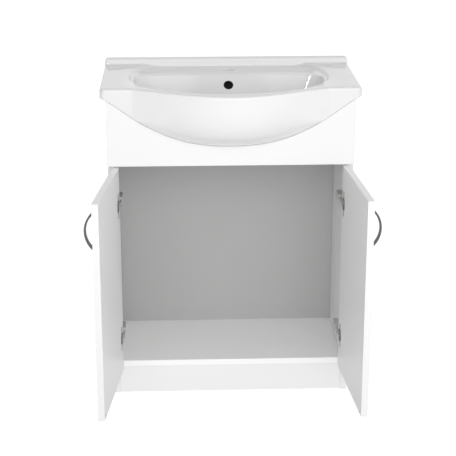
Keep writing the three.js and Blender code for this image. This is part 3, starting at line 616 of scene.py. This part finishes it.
def buildBasin():
    line, ways = planOutline()
    columns = [profileAt(x, y, way) for (x, y), way in zip(line, ways)]
    rings = len(columns[0])
    bm = bmesh.new()
    start = bmesh.ops.create_circle(bm, segments=len(columns), radius=1)["verts"]

    def lay(verts, ring):
        for vert, column in zip(verts, columns):
            px, py, pz = column[ring]
            vert.co = (px * mm, (py - basin["frameShift"]) * mm, pz * mm)

    verts, edges = list(start), list(bm.edges)
    firstEdges = list(edges)
    lay(verts, 0)
    for ring in range(1, rings):
        grown = bmesh.ops.extrude_edge_only(bm, edges=edges)["geom"]
        newEdges = [g for g in grown if isinstance(g, bmesh.types.BMEdge)]
        newVerts = {g for g in grown if isinstance(g, bmesh.types.BMVert)}
        order = []
        for vert in verts:
            order.append(next(e.other_vert(vert) for e in vert.link_edges if e.other_vert(vert) in newVerts))
        edges = [e for e in newEdges if e.verts[0] in newVerts and e.verts[1] in newVerts]
        verts = order
        lay(verts, ring)
    bmesh.ops.bridge_loops(bm, edges=edges + firstEdges)
    bmesh.ops.remove_doubles(bm, verts=bm.verts, dist=1e-5)
    bmesh.ops.recalc_face_normals(bm, faces=bm.faces)
    return bm


def holeTool(name, radius, flare, length, place, tilt):
    # a cutter whose mouth flares, so that the cut edge comes out rounded
    bm = bmesh.new()
    section = [(radius, -length), (radius, -flare)]
    section += [(radius + flare * (1 - math.cos(a)), -flare * (1 - math.sin(a)))
                for a in (0.4, 0.8, 1.2, math.pi / 2)]
    section += [(radius + flare, length)]
    verts = [bm.verts.new((r * mm, 0, z * mm)) for r, z in [(0, -length)] + section + [(0, length)]]
    edges = [bm.edges.new(pair) for pair in zip(verts, verts[1:])]
    bmesh.ops.spin(bm, geom=verts + edges, cent=(0, 0, 0), axis=(0, 0, 1),
                   angle=2 * math.pi, steps=48, use_merge=True)
    bmesh.ops.remove_doubles(bm, verts=bm.verts, dist=1e-6)
    bmesh.ops.recalc_face_normals(bm, faces=bm.faces)
    turn = Matrix.Rotation(tilt, 4, "X")
    bmesh.ops.transform(bm, matrix=Matrix.Translation([c * mm for c in place]) @ turn, verts=bm.verts)
    mesh = bpy.data.meshes.new(name)
    bm.to_mesh(mesh)
    bm.free()
    tool = bpy.data.objects.new(name, mesh)
    bpy.context.scene.collection.objects.link(tool)
    return tool


def cutHoles(piece, tools):
    for tool in tools:
        step = piece.modifiers.new(tool.name, "BOOLEAN")
        step.operation, step.solver, step.object = "DIFFERENCE", "EXACT", tool
    bpy.context.view_layer.update()
    graph = bpy.context.evaluated_depsgraph_get()
    cutMesh = bpy.data.meshes.new_from_object(piece.evaluated_get(graph))
    piece.modifiers.clear()
    piece.data = cutMesh
    for tool in tools:
        bpy.data.objects.remove(tool)


basinPiece = keepPiece("basinShell", buildBasin(), glaze, "carcass", ["basin"])
overflowY = basin["bowlRear"] - basin["overflowFromEdge"]
overflowZ = bowlFloor(0, overflowY)
tiltAngle = math.radians(90 - basin["overflowTilt"])
shift = basin["frameShift"]
cutHoles(basinPiece, [
    holeTool("tapCut", basin["tapRadius"], basin["tapFlare"], basin["cutReach"],
             (0, basin["tapPlace"] - shift, recessZ), 0),
    holeTool("overflowCut", basin["overflowRadius"], basin["overflowFlare"], basin["cutReach"],
             (0, overflowY - shift, overflowZ), tiltAngle),
])
basinPiece.data.shade_smooth()
basinPiece.data.set_sharp_from_angle(angle=math.radians(basin["sharpFrom"]))
print("basin made:", len(basinPiece.data.polygons), "faces")

overflowCup = {"clear": 0.15, "wall": 0.8, "below": 1.0, "deep": 15, "floor": 1.5,
               "easeOut": 0.3, "easeIn": 0.2}


def makeOverflowCup():
    # a cup behind the overflow hole, lined near-black as painted shade inside the hole
    outer = basin["overflowRadius"] - overflowCup["clear"]
    inner = outer - overflowCup["wall"]
    top, bottom = -overflowCup["below"], -overflowCup["deep"]
    easeOut, easeIn, floor = overflowCup["easeOut"], overflowCup["easeIn"], bottom + overflowCup["floor"]
    section = [(0, bottom), (outer, bottom), (outer, top - easeOut), (outer - easeOut, top),
               (inner + easeIn, top), (inner, top - easeOut), (inner, floor), (0, floor)]
    bm = bmesh.new()
    verts = [bm.verts.new((r * mm, 0, z * mm)) for r, z in section]
    edges = [bm.edges.new(pair) for pair in zip(verts, verts[1:])]
    bmesh.ops.spin(bm, geom=verts + edges, cent=(0, 0, 0), axis=(0, 0, 1),
                   angle=2 * math.pi, steps=40, use_merge=True)
    bmesh.ops.remove_doubles(bm, verts=bm.verts, dist=1e-6)
    bmesh.ops.recalc_face_normals(bm, faces=bm.faces)
    place = Matrix.Translation((0, (overflowY - shift) * mm, overflowZ * mm))
    bmesh.ops.transform(bm, matrix=place @ Matrix.Rotation(tiltAngle, 4, "X"), verts=bm.verts)
    keepPiece("overflowCup", bm, overflowPaintedShade, "carcass", [])


makeOverflowCup()

# fascia, cut close round the belly

fascia = {"outer": 310, "foot": 630, "top": 802.4, "gap": 0.6, "edge": 0.7, "columns": 124,
          "flatWithin": 0.3, "edgeSteps": 3, "sharpFrom": 40}


def fasciaTop(x, y):
    def under(v):
        return basinUnder(min(fascia["outer"], max(-fascia["outer"], v)), y)

    slope = (under(x + 2) - under(x - 2)) / 4
    return min(fascia["top"], under(x) - fascia["gap"] * math.sqrt(1 + slope * slope))


def makeFascia():
    bm = bmesh.new()
    bmesh.ops.create_grid(bm, x_segments=fascia["columns"], y_segments=1, size=1)
    for vert in bm.verts:
        x, upper = vert.co.x * fascia["outer"], vert.co.y > 0
        z = fasciaTop(x, -basin["fascia"]) if upper else fascia["foot"]
        vert.co = (x * mm, (-basin["fascia"] - shift) * mm, z * mm)
    thick = bmesh.ops.extrude_face_region(bm, geom=bm.faces[:])["geom"]
    for vert in (g for g in thick if isinstance(g, bmesh.types.BMVert)):
        # the cut slants where the bowl comes lower behind the belly's line
        if vert.co.z > (fascia["foot"] + 1) * mm:
            vert.co.z = min(vert.co.z, fasciaTop(vert.co.x / mm, 0) * mm)
        vert.co.y = -shift * mm
    bmesh.ops.recalc_face_normals(bm, faces=bm.faces)
    bmesh.ops.dissolve_limit(bm, angle_limit=math.radians(fascia["flatWithin"]),
                             verts=bm.verts, edges=bm.edges)
    easeEdges(bm, fascia["edge"] * mm, fascia["edgeSteps"], fascia["sharpFrom"])
    keepPiece("fasciaBoard", bm, lacquer, "carcass", ["fascia"], sharpFrom=0)


makeFascia()
print("fascia made")

# floor and light

studio = {
    "floor": 14.0, "shade": 0.14, "seen": 0.96, "unseen": 0.60, "air": 0.42,
    # broad soft lights round the part: the way to each, how far it spreads, its strength
    "glows": [((0.0, -1.0, 0.3), 0.8, 1.42), ((0.0, 1.0, 0.3), 0.75, 0.72),
              ((1.0, -0.3, 0.2), 0.4, 0.5), ((-1.0, -0.3, 0.2), 0.4, 0.1)],
    "target": (0, 0, 0.55),
    # lamps: place, width, height, strength, and whether they show in the gloss alone
    "lamps": {"softFront": ((0, -1.2, 0.75), 0.5, 0.5, 2.2, False),
              "softAbove": ((0, -2.05, 1.55), 0.8, 0.8, 5.4, False),
              "sideKey": ((0.6, -2.05, 1.1), 0.35, 0.35, 2.2, False),
              "strip": ((-0.84, -1.54, 1.76), 0.12, 0.42, 10.0, True)},
}


def makeFloor():
    bm = bmesh.new()
    bmesh.ops.create_circle(bm, cap_ends=True, segments=96, radius=studio["floor"])
    mesh = bpy.data.meshes.new("floor")
    bm.to_mesh(mesh)
    bm.free()
    floor = bpy.data.objects.new("floor", mesh)
    bpy.context.scene.collection.objects.link(floor)
    paper = bpy.data.materials.new("paleFloor")
    paper.use_nodes = True
    tree = paper.node_tree
    shader = tree.nodes["Principled BSDF"]
    shader.inputs["Base Color"].default_value = grey(studio["shade"])
    shader.inputs["Roughness"].default_value = 0.9
    shader.inputs["Specular IOR Level"].default_value = 0.0
    shader.inputs["Emission Strength"].default_value = 1.0
    # bright to the camera, but dim to the part
    path = addNode(tree, "ShaderNodeLightPath")
    shown = addNode(tree, "ShaderNodeMix", {"data_type": "RGBA"},
                    {6: grey(studio["unseen"]), 7: grey(studio["seen"])}, {0: path.outputs["Is Camera Ray"]})
    tree.links.new(shown.outputs[2], shader.inputs["Emission Color"])
    mesh.materials.append(paper)


def makeAir():
    # a faint even light, and the soft lights added to it
    world = bpy.data.worlds.new("studioAir")
    world.use_nodes = True
    tree = world.node_tree
    ground = tree.nodes["Background"]
    ground.inputs["Color"].default_value = (1, 1, 1, 1)
    path = addNode(tree, "ShaderNodeLightPath")
    way = addNode(tree, "ShaderNodeTexCoord")
    total = None
    for toward, spread, strength in studio["glows"]:
        facing = addNode(tree, "ShaderNodeVectorMath", {"operation": "DOT_PRODUCT"},
                         {1: Vector(toward).normalized()}, {0: way.outputs["Generated"]})
        glow = addNode(tree, "ShaderNodeMapRange", {"interpolation_type": "SMOOTHERSTEP"},
                       {"From Min": spread, "From Max": 1.0, "To Min": 0.0, "To Max": strength},
                       {"Value": facing.outputs["Value"]})
        added = addNode(tree, "ShaderNodeMath", {"operation": "ADD"},
                        {1: studio["air"]}, {0: glow.outputs["Result"]})
        if total:
            tree.links.new(total, added.inputs[1])
        total = added.outputs[0]
    seen = addNode(tree, "ShaderNodeMix", {"data_type": "FLOAT"}, {3: 1.0},
                   {0: path.outputs["Is Camera Ray"], 2: total})
    tree.links.new(seen.outputs[0], ground.inputs["Strength"])
    bpy.context.scene.world = world


def makeLamps():
    for name, (place, width, height, power, glossOnly) in studio["lamps"].items():
        light = bpy.data.lights.new(name, "AREA")
        light.shape, light.size, light.size_y, light.energy = "ELLIPSE", width, height, power
        lamp = bpy.data.objects.new(name, light)
        bpy.context.scene.collection.objects.link(lamp)
        lamp.location = place
        lamp.rotation_euler = (Vector(studio["target"]) - Vector(place)).to_track_quat("-Z", "Y").to_euler()
        lamp.visible_glossy, lamp.visible_diffuse, lamp.visible_camera = glossOnly, not glossOnly, False


makeFloor()
makeAir()
makeLamps()
bpy.context.scene.view_settings.view_transform = "Standard"
print("floor and light set")
